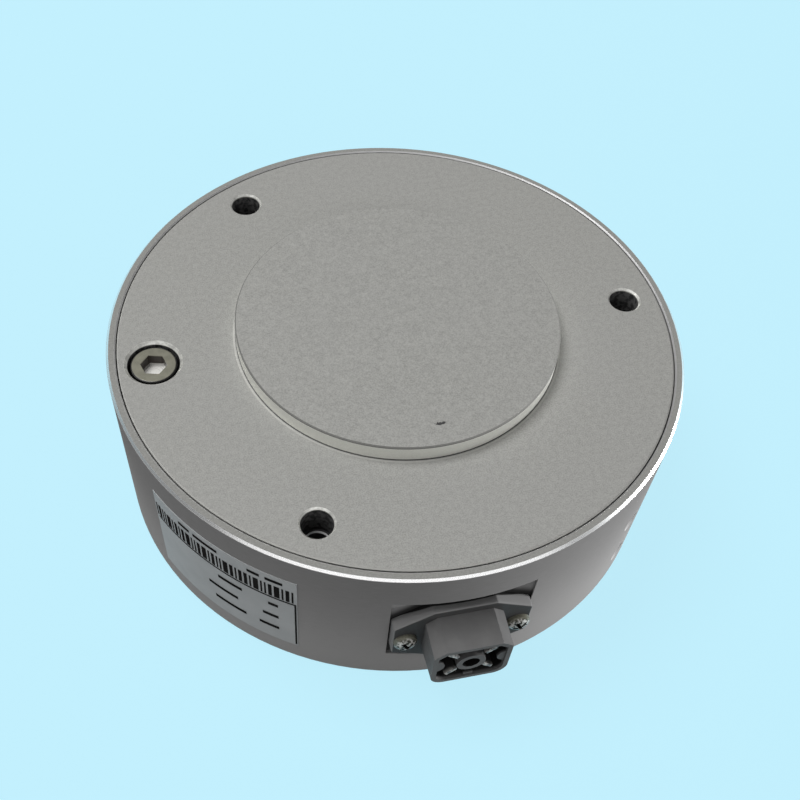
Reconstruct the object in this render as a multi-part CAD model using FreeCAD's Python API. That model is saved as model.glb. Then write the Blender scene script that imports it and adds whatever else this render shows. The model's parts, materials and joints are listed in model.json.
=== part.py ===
"""Round tension load cell: a turned cup, a floating load plate with a raised pad, and a strain-gauged
double bending beam between them. A rectangular plug socket sits on a milled flat of the cup.

Millimetres. +Z is up, the origin is the centre of the cup's flat base, and the socket faces -Y.
"""

import FreeCAD, Part
import math
import os

Vector = FreeCAD.Vector
UP = Vector(0, 0, 1)
FRONT = Vector(0, -1, 0)
SAME = 1e-4

# Housing cup
housing_diameter = 125.0
housing_height = 40.0
rim_wall = 2.0
rim_chamfer = 0.6
rim_inner_chamfer = 0.3
foot_chamfer = 0.6
cup_wall = 18.5
floor_thickness = 9.0

# Load plate and its raised pad
plate_gap = 0.28
plate_thickness = 8.0
plate_chamfer = 0.3
pad_diameter = 70.0
pad_height = 4.0
pad_chamfer = 0.25

# Load holes in the plate, each with a clinch nut pressed in from below
load_hole_inset = 9.75
load_hole_count = 3
load_hole_diameter = 6.6
load_hole_depth = 7.3
load_hole_chamfer = 0.4
insert_core_diameter = 5.0
insert_diameter = 8.5
insert_collar_diameter = 11.0
insert_collar_length = 4.0
insert_chamfer = 0.3
insert_relief_diameter = 13.0
insert_relief_depth = 9.0

# Overload stop: a cap screw that passes the plate with slack and threads into the cup
stop_angle = 180.0
stop_thread = 6.0
stop_length = 20.0
stop_head_diameter = 10.0
stop_head_height = 4.0
stop_head_round = 0.45
stop_hex = 5.0
stop_hex_depth = 2.5
stop_turn = -13.0
stop_sunk = 0.7
stop_slack = 0.3
stop_bore_clearance = 0.55
stop_bore_chamfer = 0.6
stop_hole_clearance = 0.65
overload_gap = 0.3

# Ring seal in the gap round the plate
seal_section = 1.4
seal_groove_clearance = 0.2
seal_depth_below_top = 6.0

# Measuring beam
beam_end_clearance = 2.9
beam_width = 26.0
beam_pad_height = 2.0
beam_pad_length = 14.0
flexure_thickness = 2.25
flexure_from_pad = 9.0
beam_slot_height = 5.0
beam_screw_thread = 5.0
beam_screw_length = 16.0
beam_screw_head_diameter = 8.5
beam_screw_head_height = 5.0
beam_screw_hex = 4.0
beam_screw_hex_depth = 2.5
beam_screw_head_round = 0.3
beam_screw_hole_clearance = 0.25
beam_screw_bore_clearance = 0.5
beam_screw_spacing = 14.0
beam_screw_sunk = 0.3
plate_thread_floor = 2.5

# Strain gauges and their leads
gauge_length = 7.0
gauge_width = 4.0
gauge_thickness = 0.1
gauge_lead_diameter = 0.5
gauge_lead_offset = 1.2
gauge_lead_drop = 3.0
gauge_lead_bend = 1.0

# Terminal board
board_side_margin = 1.8
board_wall_clearance = 1.5
board_thickness = 1.6
board_to_beam = 6.0
standoff_height = 1.5
standoff_diameter = 5.0
board_screw_thread = 2.5
board_screw_length = 8.0
board_screw_head_diameter = 4.5
board_screw_head_height = 1.6
board_screw_inset = 6.0
resistor_length = 3.2
resistor_width = 1.6
resistor_height = 0.7
resistor_pitch = 4.0
resistor_from_screws = 1.0
resistor_count = 4

# Plug socket on its milled flat
pocket_depth = 2.4
pocket_clearance_above = 2.7
pocket_clearance_below = 0.5
pocket_clearance_side = 0.4
pocket_roof = 0.9
gasket_thickness = 0.2
gasket_inset = 0.6
flange_thickness = 2.65
flange_margin = 1.7
flange_beyond_screw = 2.5
flange_flat_inset = 1.6
flange_shoulder = 4.3
flange_corner_round = 0.8
flange_edge_round = 0.4
shell_width = 16.0
shell_height = 13.4
shell_taper = 0.8
shell_length = 7.5
shell_wall = 1.0
shell_chamfer_width = 2.3
shell_chamfer_height = 1.9
shell_round = 3.0
neck_wall = 0.8
neck_length = 6.0
neck_round = 1.8
carrier_thickness = 3.0
carrier_in_neck = 1.5
carrier_shoulder = 0.8
post_diameter = 6.0
post_hole = 3.5
post_sunk = 0.2
pin_width = 2.8
pin_thickness = 0.8
pin_chamfer = 0.2
pin_turn = 42.0
pin_inset_x = 3.2
pin_inset_z = 2.3
pin_behind_post = 0.2
pin_tail = 4.0
pin_tail_diameter = 1.2
key_width = 2.0
key_height = 0.8
key_sunk = 0.4
rib_radius = 2.0
rib_reach = 1.6
nut_diameter = 4.4
nut_core = 2.5
nut_length = 4.0
lead_diameter = 1.0
lead_bend = 1.2
lead_setback = 4.0
lead_row = 2.2
lead_loop = 2.0

# Socket screws, pan head with a cross recess
socket_screw_gap = 1.4
socket_screw_thread = 2.5
socket_screw_length = 9.0
socket_screw_head_diameter = 4.8
socket_screw_head_height = 1.9
socket_screw_hole_clearance = 0.2
socket_screw_turn = 25.0
cross_width = 0.7
cross_length = 2.9
cross_depth = 1.2
pan_edge_share = 0.45
pan_dome_share = 0.95

# Set screws in the cup's side
plug_angle = -48.0
plug_thread = 4.0
plug_length = 6.0
plug_sunk = 0.8
plug_chamfer = 0.5
plug_hex = 2.0
plug_hex_depth = 2.0
plug_low = 9.8
plug_below_ledge = 9.6

# Fixing holes in the base
base_hole_inset = 12.5
base_hole_count = 3
base_hole_core = 5.0
base_hole_depth = 12.0
base_hole_chamfer = 0.5

# Rating label on the side
label_angle = -137.6
label_arc = 37.0
label_height = 26.5
label_bottom = 5.8
label_thickness = 0.12

# Clearances on each side, and how far a tapped hole runs past its screw
thread_clearance = 0.05
fit_clearance = 0.05
board_hole_clearance = 0.1
tap_overrun = 1.2
seal_clearance = 0.05
window_clearance = 0.2
window_overrun = 2.0

# Levels and radii worked out from the driving sizes
housing_radius = housing_diameter / 2
rim_radius = housing_radius - rim_wall
plate_radius = rim_radius - plate_gap
cavity_radius = housing_radius - cup_wall
plate_under = housing_height - plate_thickness
ledge_level = plate_under - overload_gap
pad_top = housing_height + pad_height

load_radius = housing_radius - load_hole_inset
load_angles = [360.0 * i / load_hole_count for i in range(load_hole_count)]
insert_seat = housing_height - load_hole_depth
base_hole_radius = housing_radius - base_hole_inset
base_angles = [360.0 * i / base_hole_count for i in range(base_hole_count)]
stop_seat = housing_height - stop_sunk - stop_head_height - stop_slack
stop_head_under = stop_seat + stop_slack
stop_bore_diameter = stop_head_diameter + 2 * stop_bore_clearance
stop_hole_diameter = stop_thread + 2 * stop_hole_clearance
plug_high = ledge_level - plug_below_ledge

beam_bottom = floor_thickness + beam_pad_height
beam_top = plate_under - beam_pad_height
beam_height = beam_top - beam_bottom
beam_half = math.sqrt((cavity_radius - beam_end_clearance) ** 2 - (beam_width / 2) ** 2)
beam_screw_x = beam_half - beam_pad_length / 2
beam_screw_hole = beam_screw_thread + 2 * beam_screw_hole_clearance
beam_screw_bore = beam_screw_head_diameter + 2 * beam_screw_bore_clearance
plate_thread_length = plate_thickness - plate_thread_floor
plate_screw_seat = plate_under + plate_thread_length - beam_screw_length
flexure_x = beam_half - beam_pad_length - flexure_from_pad

board_half = flexure_x + gauge_lead_offset + board_side_margin
board_front = -math.sqrt((cavity_radius - board_wall_clearance) ** 2 - board_half**2)
board_back = -(beam_width / 2 + board_to_beam)
board_middle = (board_front + board_back) / 2
board_under = floor_thickness + standoff_height
board_top = board_under + board_thickness
board_screw_x = board_half - board_screw_inset
board_hole = board_screw_thread + 2 * board_hole_clearance

shell_root_height = shell_height + 2 * shell_taper
mouth_width = shell_width - 2 * shell_wall
mouth_height = shell_height - 2 * shell_wall
neck_width = mouth_width + 2 * neck_wall
neck_height = mouth_height + 2 * neck_wall
pin_x = mouth_width / 2 - pin_inset_x
pin_z = mouth_height / 2 - pin_inset_z
socket_screw_x = shell_width / 2 + socket_screw_gap + socket_screw_head_diameter / 2
socket_screw_hole = socket_screw_thread + 2 * socket_screw_hole_clearance
flange_height = shell_root_height + 2 * flange_margin
flange_half = socket_screw_x + flange_beyond_screw

pocket_y = -(housing_radius - pocket_depth)
pocket_top = ledge_level - pocket_roof
socket_height = pocket_top - pocket_clearance_above - flange_height / 2
pocket_bottom = socket_height - flange_height / 2 - pocket_clearance_below
flange_back = pocket_y - gasket_thickness
flange_front = flange_back - flange_thickness
shell_front = flange_front - shell_length
neck_back = flange_back + neck_length
carrier_back = flange_back + carrier_in_neck
carrier_front = carrier_back - carrier_thickness
post_front = shell_front + post_sunk
pin_front = post_front + pin_behind_post
pin_back = carrier_back + pin_tail


def polar(radius, degrees, z=0.0):
    """A point at an angle on a circle round the axis."""
    a = math.radians(degrees)
    return Vector(radius * math.cos(a), radius * math.sin(a), z)


def rod(diameter, length, start, direction=UP):
    """A cylinder from a point along a direction."""
    return Part.makeCylinder(diameter / 2, length, start, direction)


def cone_mouth(diameter, chamfer, start, direction=UP):
    """A 45 degree countersink that widens along the direction by the chamfer."""
    return Part.makeCone(diameter / 2, diameter / 2 + chamfer, chamfer, start, direction)


def turned(profile):
    """A solid of revolution about Z from (radius, height) points."""
    wire = Part.makePolygon([Vector(r, 0, z) for r, z in profile + profile[:1]])
    return Part.Face(wire).revolve(Vector(0, 0, 0), UP, 360)


def block(low, high):
    """A box between two corners."""
    size = high - low
    return Part.makeBox(size.x, size.y, size.z, low)


def prism(points, direction):
    """A straight solid from an outline of points."""
    return Part.Face(Part.makePolygon(points + points[:1])).extrude(direction)


def hexagon(across_flats, length, start, direction=UP):
    """A hexagonal prism from a point along a direction."""
    corner = across_flats / math.sqrt(3)
    points = [polar(corner, 60.0 * i) for i in range(6)]
    body = prism(points, Vector(0, 0, length))
    body.Placement = FreeCAD.Placement(start, FreeCAD.Rotation(UP, direction))
    return body


def upright(shape):
    """The shape's edges that run along Y."""
    return [e for e in shape.Edges if abs(e.tangentAt(e.FirstParameter).y) > 1 - SAME]


def rounded_bar(width, height, y_front, y_back, radius):
    """A bar along Y of rounded rectangular section, centred on the socket."""
    bar = block(
        Vector(-width / 2, y_front, socket_height - height / 2),
        Vector(width / 2, y_back, socket_height + height / 2),
    )
    return bar.makeFillet(radius, upright(bar))


def cap_screw(thread, length, head_diameter, head_height, hex_size, hex_depth, head_round):
    """A socket head cap screw whose head stands on z = 0 and whose shank points down."""
    head = rod(head_diameter, head_height, Vector(0, 0, 0))
    top = [e for e in head.Edges if e.BoundBox.ZMin > head_height - SAME]
    head = head.makeFillet(head_round, top)
    drive = hexagon(hex_size, hex_depth, Vector(0, 0, head_height - hex_depth))
    tip = thread / 8
    shank = rod(thread, length - tip, Vector(0, 0, tip - length))
    point = Part.makeCone(thread / 2 - tip, thread / 2, tip, Vector(0, 0, -length))
    return head.cut(drive).fuse([shank, point]).removeSplitter()


def pan_screw(thread, length, head_diameter, head_height):
    """A domed pan head screw with a cross recess; the head stands on z = 0, the shank points down."""
    rise = head_height * (1 - pan_edge_share)
    reach = head_diameter / 2 * pan_dome_share
    dome = (reach**2 + rise**2) / (2 * rise)
    ball = Part.makeSphere(dome, Vector(0, 0, head_height - dome))
    head = rod(head_diameter, head_height, Vector(0, 0, 0)).common(ball)
    arm = Vector(cross_length / 2, cross_width / 2, head_height)
    slot = block(Vector(-arm.x, -arm.y, head_height - cross_depth), arm)
    turned_slot = slot.copy()
    turned_slot.rotate(Vector(0, 0, 0), UP, 90)
    shank = rod(thread, length, Vector(0, 0, -length))
    return head.cut(slot).cut(turned_slot).fuse(shank).removeSplitter()


def tube_along(points, diameter, bend):
    """A round lead along straight runs that tangent arcs join."""
    edges = []
    start = points[0]
    for before, corner, after in zip(points, points[1:], points[2:]):
        into = (corner - before).normalize()
        out = (after - corner).normalize()
        half = into.getAngle(out) / 2
        if half < SAME:
            continue
        setback = bend * math.tan(half)
        first = corner - into * setback
        last = corner + out * setback
        inward = (out - into).normalize()
        middle = corner + inward * (bend / math.cos(half) - bend)
        edges.append(Part.LineSegment(start, first).toShape())
        edges.append(Part.Arc(first, middle, last).toShape())
        start = last
    edges.append(Part.LineSegment(start, points[-1]).toShape())
    path = Part.Wire(edges)
    section = Part.Wire(Part.makeCircle(diameter / 2, points[0], points[1] - points[0]))
    return path.makePipeShell([section], True, False)


def shell_outline(height, inset, y):
    """The socket shell's section at a level along Y: chamfered at the top, rounded at the bottom."""
    w = shell_width / 2 - inset
    h = height / 2 - inset
    slope = math.hypot(shell_chamfer_width, shell_chamfer_height)
    shrink = (shell_chamfer_width + shell_chamfer_height - slope) / shell_chamfer_height
    cx = shell_chamfer_width - inset * shrink
    cz = cx * shell_chamfer_height / shell_chamfer_width
    r = shell_round * shell_round / (shell_round + inset)
    low, high = socket_height - h, socket_height + h
    dip = r * (1 - math.sqrt(0.5))
    lines = [
        Part.LineSegment(Vector(-w, y, low + r), Vector(-w, y, high - cz)),
        Part.LineSegment(Vector(-w, y, high - cz), Vector(-w + cx, y, high)),
        Part.LineSegment(Vector(-w + cx, y, high), Vector(w - cx, y, high)),
        Part.LineSegment(Vector(w - cx, y, high), Vector(w, y, high - cz)),
        Part.LineSegment(Vector(w, y, high - cz), Vector(w, y, low + r)),
        Part.Arc(Vector(w, y, low + r), Vector(w - dip, y, low + dip), Vector(w - r, y, low)),
        Part.LineSegment(Vector(w - r, y, low), Vector(-w + r, y, low)),
        Part.Arc(Vector(-w + r, y, low), Vector(-w + dip, y, low + dip), Vector(-w, y, low + r)),
    ]
    return Part.Wire([line.toShape() for line in lines])


def flange_outline(inset, y):
    """The flange's long eight-sided outline at a level along Y."""
    half_length = flange_half - inset
    half_height = flange_height / 2 - inset
    flat = shell_width / 2 - flange_flat_inset
    end = flange_height / 2 - flange_shoulder
    corners = [
        (-half_length, -end), (-half_length, end), (-flat, half_height), (flat, half_height),
        (half_length, end), (half_length, -end), (flat, -half_height), (-flat, -half_height),
    ]
    return [Vector(x, y, socket_height + z) for x, z in corners]


def socket_screw_points(y):
    """The two screw centres of the socket's flange."""
    return [Vector(s * socket_screw_x, y, socket_height) for s in (-1, 1)]


def pin_points(y):
    """The four contact centres."""
    return [
        Vector(sx * pin_x, y, socket_height + sz * pin_z)
        for sx in (-1, 1)
        for sz in (-1, 1)
    ]


def blade(y_front, y_back, clearance, centre):
    """A flat bar along Y whose broad side points from its centre to the post."""
    half = Vector(pin_width / 2 + clearance, 0, pin_thickness / 2 + clearance)
    bar = block(Vector(-half.x, y_front, -half.z), Vector(half.x, y_back, half.z))
    lean = pin_turn if centre.x * (centre.z - socket_height) > 0 else -pin_turn
    bar.rotate(Vector(0, 0, 0), FRONT, lean)
    bar.translate(centre)
    return bar


def plug_points(radius):
    """The two set screw centres on the cup's side."""
    return [polar(radius, plug_angle, z) for z in (plug_low, plug_high)]


def beam_screw_points(x, z):
    """The two screw centres at one end of the beam."""
    return [Vector(x, s * beam_screw_spacing / 2, z) for s in (-1, 1)]


def board_screw_points(z):
    """The two screw centres of the terminal board."""
    return [Vector(s * board_screw_x, board_middle, z) for s in (-1, 1)]


def make_housing():
    """The cup: rim, ledge, cavity and floor turned in one piece, then milled, drilled and tapped."""
    r, h = housing_radius, housing_height
    cup = turned([
        (0, 0), (r - foot_chamfer, 0), (r, foot_chamfer), (r, h - rim_chamfer), (r - rim_chamfer, h),
        (rim_radius + rim_inner_chamfer, h), (rim_radius, h - rim_inner_chamfer),
        (rim_radius, ledge_level), (cavity_radius, ledge_level),
        (cavity_radius, floor_thickness), (0, floor_thickness),
    ])
    pocket_half = flange_half + pocket_clearance_side
    cuts = [block(
        Vector(-pocket_half, -2 * r, pocket_bottom), Vector(pocket_half, pocket_y, pocket_top),
    )]
    cuts.append(rounded_bar(
        neck_width + 2 * window_clearance, neck_height + 2 * window_clearance,
        pocket_y - pocket_depth, window_overrun - cavity_radius, neck_round + window_clearance,
    ))
    for p in socket_screw_points(pocket_y):
        cuts.append(rod(socket_screw_thread + 2 * thread_clearance, socket_screw_length, p, -FRONT))
    outward = polar(1, plug_angle)
    for p in plug_points(housing_radius):
        depth = plug_sunk + plug_length + tap_overrun
        cuts.append(rod(plug_thread + 2 * thread_clearance, 2 * depth, p - outward * depth, outward))
        cuts.append(cone_mouth(plug_thread, 2 * plug_chamfer, p - outward * plug_chamfer, outward))
    for p in beam_screw_points(-beam_screw_x, 0):
        cuts.append(rod(beam_screw_bore, beam_screw_sunk + beam_screw_head_height, p))
        cuts.append(rod(beam_screw_hole, floor_thickness, p))
    for angle in base_angles:
        p = polar(base_hole_radius, angle)
        cuts.append(rod(base_hole_core, base_hole_depth, p))
        cuts.append(cone_mouth(base_hole_core, base_hole_chamfer, p + UP * base_hole_chamfer, -UP))
    for angle in load_angles:
        p = polar(load_radius, angle, ledge_level - insert_relief_depth)
        cuts.append(rod(insert_relief_diameter, insert_relief_depth, p))
    stop_depth = stop_length - (stop_head_under - ledge_level) + tap_overrun
    cuts.append(rod(
        stop_thread + 2 * thread_clearance, stop_depth,
        polar(load_radius, stop_angle, ledge_level - stop_depth),
    ))
    board_tap = board_screw_length - board_thickness - standoff_height + tap_overrun
    for p in board_screw_points(floor_thickness - board_tap):
        cuts.append(rod(board_screw_thread + 2 * thread_clearance, board_tap, p))
    return cup.cut(cuts)


def make_load_plate():
    """The floating plate with its raised pad, load holes, stop bore and seal groove."""
    r, top = plate_radius, housing_height
    groove_half = seal_section / 2 + seal_groove_clearance
    groove_low = top - seal_depth_below_top - groove_half
    groove_high = top - seal_depth_below_top + groove_half
    groove_floor = rim_radius - seal_section - 2 * seal_clearance
    pad_radius = pad_diameter / 2
    plate = turned([
        (0, plate_under), (r, plate_under), (r, groove_low), (groove_floor, groove_low),
        (groove_floor, groove_high), (r, groove_high), (r, top - plate_chamfer), (r - plate_chamfer, top),
        (pad_radius, top), (pad_radius, pad_top - pad_chamfer), (pad_radius - pad_chamfer, pad_top),
        (0, pad_top),
    ])
    cuts = []
    for angle in load_angles:
        cuts.append(rod(load_hole_diameter, plate_thickness, polar(load_radius, angle, insert_seat)))
        cuts.append(rod(insert_diameter, insert_seat - plate_under, polar(load_radius, angle, plate_under)))
        mouth = polar(load_radius, angle, top - load_hole_chamfer)
        cuts.append(cone_mouth(load_hole_diameter, load_hole_chamfer, mouth))
    cuts.append(rod(stop_hole_diameter, plate_thickness, polar(load_radius, stop_angle, plate_under)))
    cuts.append(rod(stop_bore_diameter, top - stop_seat, polar(load_radius, stop_angle, stop_seat)))
    cuts.append(cone_mouth(
        stop_bore_diameter, stop_bore_chamfer, polar(load_radius, stop_angle, top - stop_bore_chamfer)
    ))
    tap = plate_thread_length + tap_overrun
    for p in beam_screw_points(beam_screw_x, plate_under):
        cuts.append(rod(beam_screw_thread + 2 * thread_clearance, tap, p))
    return plate.cut(cuts)


def make_gap_seal():
    """The soft ring that closes the gap between plate and rim."""
    section = seal_section / 2
    centre = Vector(0, 0, housing_height - seal_depth_below_top)
    return Part.makeTorus(rim_radius - seal_clearance - section, section, centre)


def make_thread_inserts():
    """The collared threaded bushes pressed into the plate from below."""
    inserts = []
    for angle in load_angles:
        body = turned([
            (insert_core_diameter / 2, plate_under - insert_collar_length),
            (insert_collar_diameter / 2, plate_under - insert_collar_length),
            (insert_collar_diameter / 2, plate_under), (insert_diameter / 2, plate_under),
            (insert_diameter / 2, insert_seat), (insert_core_diameter / 2 + insert_chamfer, insert_seat),
            (insert_core_diameter / 2, insert_seat - insert_chamfer),
        ])
        body.translate(polar(load_radius, angle))
        inserts.append(body)
    return Part.makeCompound(inserts)


def make_overload_stop_screw():
    """The cap screw that limits the plate's travel."""
    screw = cap_screw(
        stop_thread, stop_length, stop_head_diameter, stop_head_height,
        stop_hex, stop_hex_depth, stop_head_round,
    )
    screw.rotate(Vector(0, 0, 0), UP, stop_turn)
    screw.translate(polar(load_radius, stop_angle, stop_head_under))
    return screw


def make_measuring_beam():
    """The double bending beam: two thin flexures above and below a spectacle-shaped opening."""
    half, side = beam_half, beam_width / 2
    beam = block(Vector(-half, -side, beam_bottom), Vector(half, side, beam_top))
    foot = block(Vector(-half, -side, floor_thickness), Vector(beam_pad_length - half, side, beam_bottom))
    head = block(Vector(half - beam_pad_length, -side, beam_top), Vector(half, side, plate_under))
    beam = beam.fuse([foot, head]).removeSplitter()
    middle = (beam_bottom + beam_top) / 2
    eye = beam_height - 2 * flexure_thickness
    cuts = [
        rod(eye, beam_width, Vector(s * flexure_x, -side, middle), -FRONT) for s in (-1, 1)
    ]
    cuts.append(block(
        Vector(-flexure_x, -side, middle - beam_slot_height / 2),
        Vector(flexure_x, side, middle + beam_slot_height / 2),
    ))
    clamped = floor_thickness - beam_screw_sunk - beam_screw_head_height
    tap = beam_screw_length - clamped + tap_overrun
    for p in beam_screw_points(-beam_screw_x, floor_thickness):
        cuts.append(rod(beam_screw_thread + 2 * thread_clearance, tap, p))
    for p in beam_screw_points(beam_screw_x, beam_bottom):
        cuts.append(rod(beam_screw_bore, plate_screw_seat - beam_bottom, p))
        cuts.append(rod(beam_screw_hole, plate_under - beam_bottom, p))
    return beam.cut(cuts)


def beam_screw():
    """One cap screw of the beam, pointing up, its head's seat on z = 0."""
    screw = cap_screw(
        beam_screw_thread, beam_screw_length, beam_screw_head_diameter, beam_screw_head_height,
        beam_screw_hex, beam_screw_hex_depth, beam_screw_head_round,
    )
    screw.rotate(Vector(0, 0, 0), Vector(1, 0, 0), 180)
    return screw


def place_copies(shape, points):
    """Copies of one shape at each point, as a group of separate solids."""
    copies = []
    for p in points:
        copy = shape.copy()
        copy.translate(p)
        copies.append(copy)
    return Part.makeCompound(copies)


def make_beam_base_screws():
    """The two screws that hold the beam's foot to the cup's floor."""
    seat = beam_screw_sunk + beam_screw_head_height
    return place_copies(beam_screw(), beam_screw_points(-beam_screw_x, seat))


def make_beam_plate_screws():
    """The two screws that hold the load plate to the beam's head."""
    return place_copies(beam_screw(), beam_screw_points(beam_screw_x, plate_screw_seat))


def make_strain_gauges():
    """The four foil gauges over and under the flexures."""
    gauge = Part.makeBox(
        gauge_length, gauge_width, gauge_thickness, Vector(-gauge_length / 2, -gauge_width / 2, 0)
    )
    levels = (beam_bottom - gauge_thickness, beam_top)
    return place_copies(gauge, [
        Vector(s * flexure_x, 0, z) for s in (-1, 1) for z in levels
    ])


def make_gauge_leads():
    """The thin leads from each gauge round the beam's edge to the terminal board."""
    r = gauge_lead_diameter / 2
    side = -beam_width / 2
    drop = side - gauge_lead_drop
    end = Vector(0, board_back - gauge_lead_drop, board_top + r)
    leads = []
    for s in (-1, 1):
        for offset, level in ((gauge_lead_offset, beam_top + r), (-gauge_lead_offset, beam_bottom - r)):
            x = s * (flexure_x + offset)
            points = [
                Vector(x, -gauge_width / 2, level), Vector(x, drop, level),
                Vector(x, drop, end.z), Vector(x, end.y, end.z),
            ]
            leads.append(tube_along(points, gauge_lead_diameter, gauge_lead_bend))
    return Part.makeCompound(leads)


def make_terminal_board():
    """The board that completes the bridge."""
    board = block(
        Vector(-board_half, board_front, board_under), Vector(board_half, board_back, board_top)
    )
    return board.cut([rod(board_hole, board_thickness, p) for p in board_screw_points(board_under)])


def make_trim_resistors():
    """The row of bridge resistors on the board."""
    chip = Part.makeBox(
        resistor_width, resistor_length, resistor_height, Vector(-resistor_width / 2, -resistor_length / 2, 0)
    )
    middle = (resistor_count - 1) / 2
    row = board_middle + board_screw_head_diameter / 2 + resistor_from_screws + resistor_length / 2
    return place_copies(chip, [
        Vector((i - middle) * resistor_pitch, row, board_top) for i in range(resistor_count)
    ])


def make_board_standoffs():
    """The two spacers under the board."""
    spacer = rod(standoff_diameter, standoff_height, Vector(0, 0, 0))
    spacer = spacer.cut(rod(board_hole, standoff_height, Vector(0, 0, 0)))
    return place_copies(spacer, board_screw_points(floor_thickness))


def make_board_screws():
    """The two screws of the board."""
    screw = pan_screw(
        board_screw_thread, board_screw_length, board_screw_head_diameter, board_screw_head_height
    )
    return place_copies(screw, board_screw_points(board_top))


def make_signal_leads():
    """The four leads from the contacts' tails over the board's edge and down onto it."""
    leads = []
    for tail in pin_points(pin_back):
        level = max(tail.z, board_top + lead_loop)
        over = board_front + lead_setback + (lead_row if tail.z > socket_height else 0)
        leads.append(tube_along([
            tail, Vector(tail.x, board_front - 2 * lead_bend, tail.z), Vector(tail.x, board_front, level),
            Vector(tail.x, over, level), Vector(tail.x, over, board_top),
        ], lead_diameter, lead_bend))
    return Part.makeCompound(leads)


def make_connector_shell():
    """The moulded flange, tapered shell and neck of the socket."""
    core = flange_front + flange_thickness / 2
    flange = prism(flange_outline(0, flange_front), Vector(0, flange_thickness, 0))
    flange = flange.makeFillet(flange_corner_round, upright(flange))
    rim = [e for e in flange.Edges if e.BoundBox.YMax < flange_front + SAME]
    flange = flange.makeFillet(flange_edge_round, rim)
    root = shell_outline(shell_root_height, 0, core)
    front = shell_outline(shell_height, 0, shell_front)
    shell = Part.makeLoft([root, front], True, True)
    neck = rounded_bar(neck_width, neck_height, core, neck_back, neck_round)
    body = flange.fuse([shell, neck]).removeSplitter()
    opening = shell_outline(shell_height, shell_wall, shell_front)
    floor = socket_height - mouth_height / 2
    start = shell_front + key_sunk
    guides = [block(
        Vector(-key_width / 2, start, floor - shell_wall),
        Vector(key_width / 2, carrier_front, floor + key_height),
    )]
    for s in (-1, 1):
        side = Vector(s * (mouth_width / 2 - rib_reach + rib_radius), start, socket_height)
        guides.append(rod(2 * rib_radius, carrier_front - start, side, -FRONT))
    mouth = Part.Face(opening).extrude(Vector(0, carrier_back - shell_front, 0))
    cuts = [mouth.cut(guides)]
    duct = Vector(mouth_width / 2 - carrier_shoulder, 0, mouth_height / 2 - carrier_shoulder)
    cuts.append(block(
        Vector(-duct.x, carrier_back, socket_height - duct.z),
        Vector(duct.x, neck_back, socket_height + duct.z),
    ))
    for p in socket_screw_points(flange_front):
        cuts.append(rod(socket_screw_hole, flange_thickness, p, -FRONT))
    return body.cut(cuts).removeSplitter()


def make_contact_carrier():
    """The insert that holds the contacts, with its hollow centre post."""
    outline = shell_outline(shell_height, shell_wall + fit_clearance, carrier_front)
    carrier = Part.Face(outline).extrude(Vector(0, carrier_thickness, 0))
    centre = Vector(0, carrier_front, socket_height)
    post = rod(post_diameter, carrier_front - post_front, centre, FRONT)
    carrier = carrier.fuse(post).removeSplitter()
    nut_start = Vector(0, carrier_back - nut_length, socket_height)
    cuts = [rod(post_hole, carrier_back - post_front, Vector(0, post_front, socket_height), -FRONT)]
    cuts.append(rod(nut_diameter + 2 * fit_clearance, nut_length, nut_start, -FRONT))
    cuts += [blade(carrier_front, carrier_back, fit_clearance, p) for p in pin_points(0)]
    return carrier.cut(cuts)


def make_centre_nut():
    """The brass bush in the post that takes the plug's locking screw."""
    start = Vector(0, carrier_back - nut_length, socket_height)
    return rod(nut_diameter, nut_length, start, -FRONT).cut(rod(nut_core, nut_length, start, -FRONT))


def make_contact_pins():
    """The four flat contacts, set round the post, with round tails for the leads."""
    pins = []
    for p in pin_points(0):
        pin = blade(pin_front, carrier_back, 0, p)
        tip = [e for e in pin.Edges if e.BoundBox.YMax < pin_front + SAME]
        tail = rod(pin_tail_diameter, pin_back - carrier_back, p - FRONT * carrier_back, -FRONT)
        pins.append(pin.makeChamfer(pin_chamfer, tip).fuse(tail))
    return Part.makeCompound(pins)


def make_connector_gasket():
    """The flat seal between flange and cup."""
    gasket = prism(flange_outline(gasket_inset, flange_back), Vector(0, gasket_thickness, 0))
    window = rounded_bar(
        neck_width + 2 * window_clearance, neck_height + 2 * window_clearance,
        flange_back, pocket_y, neck_round + window_clearance,
    )
    holes = [rod(socket_screw_hole, gasket_thickness, p, -FRONT) for p in socket_screw_points(flange_back)]
    return gasket.cut([window] + holes)


def make_connector_screws():
    """The two pan head screws of the socket's flange."""
    screw = pan_screw(
        socket_screw_thread, socket_screw_length, socket_screw_head_diameter, socket_screw_head_height
    )
    screw.rotate(Vector(0, 0, 0), Vector(1, 0, 0), 90)
    screw.rotate(Vector(0, 0, 0), FRONT, socket_screw_turn)
    return place_copies(screw, socket_screw_points(flange_front))


def make_side_plugs():
    """The two set screws in the cup's side."""
    outward = polar(1, plug_angle)
    plugs = []
    for p in plug_points(housing_radius - plug_sunk):
        plug = rod(plug_thread, plug_length, p, -outward)
        plugs.append(plug.cut(hexagon(plug_hex, plug_hex_depth, p, -outward)))
    return Part.makeCompound(plugs)


def make_rating_label():
    """The foil label that follows the cup's side."""
    sweep = math.degrees(label_arc / housing_radius)
    profile = [
        Vector(housing_radius, 0, label_bottom), Vector(housing_radius + label_thickness, 0, label_bottom),
        Vector(housing_radius + label_thickness, 0, label_bottom + label_height),
        Vector(housing_radius, 0, label_bottom + label_height),
    ]
    foil = Part.Face(Part.makePolygon(profile + profile[:1])).revolve(Vector(0, 0, 0), UP, sweep)
    foil.rotate(Vector(0, 0, 0), UP, label_angle - sweep / 2)
    return foil


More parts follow.
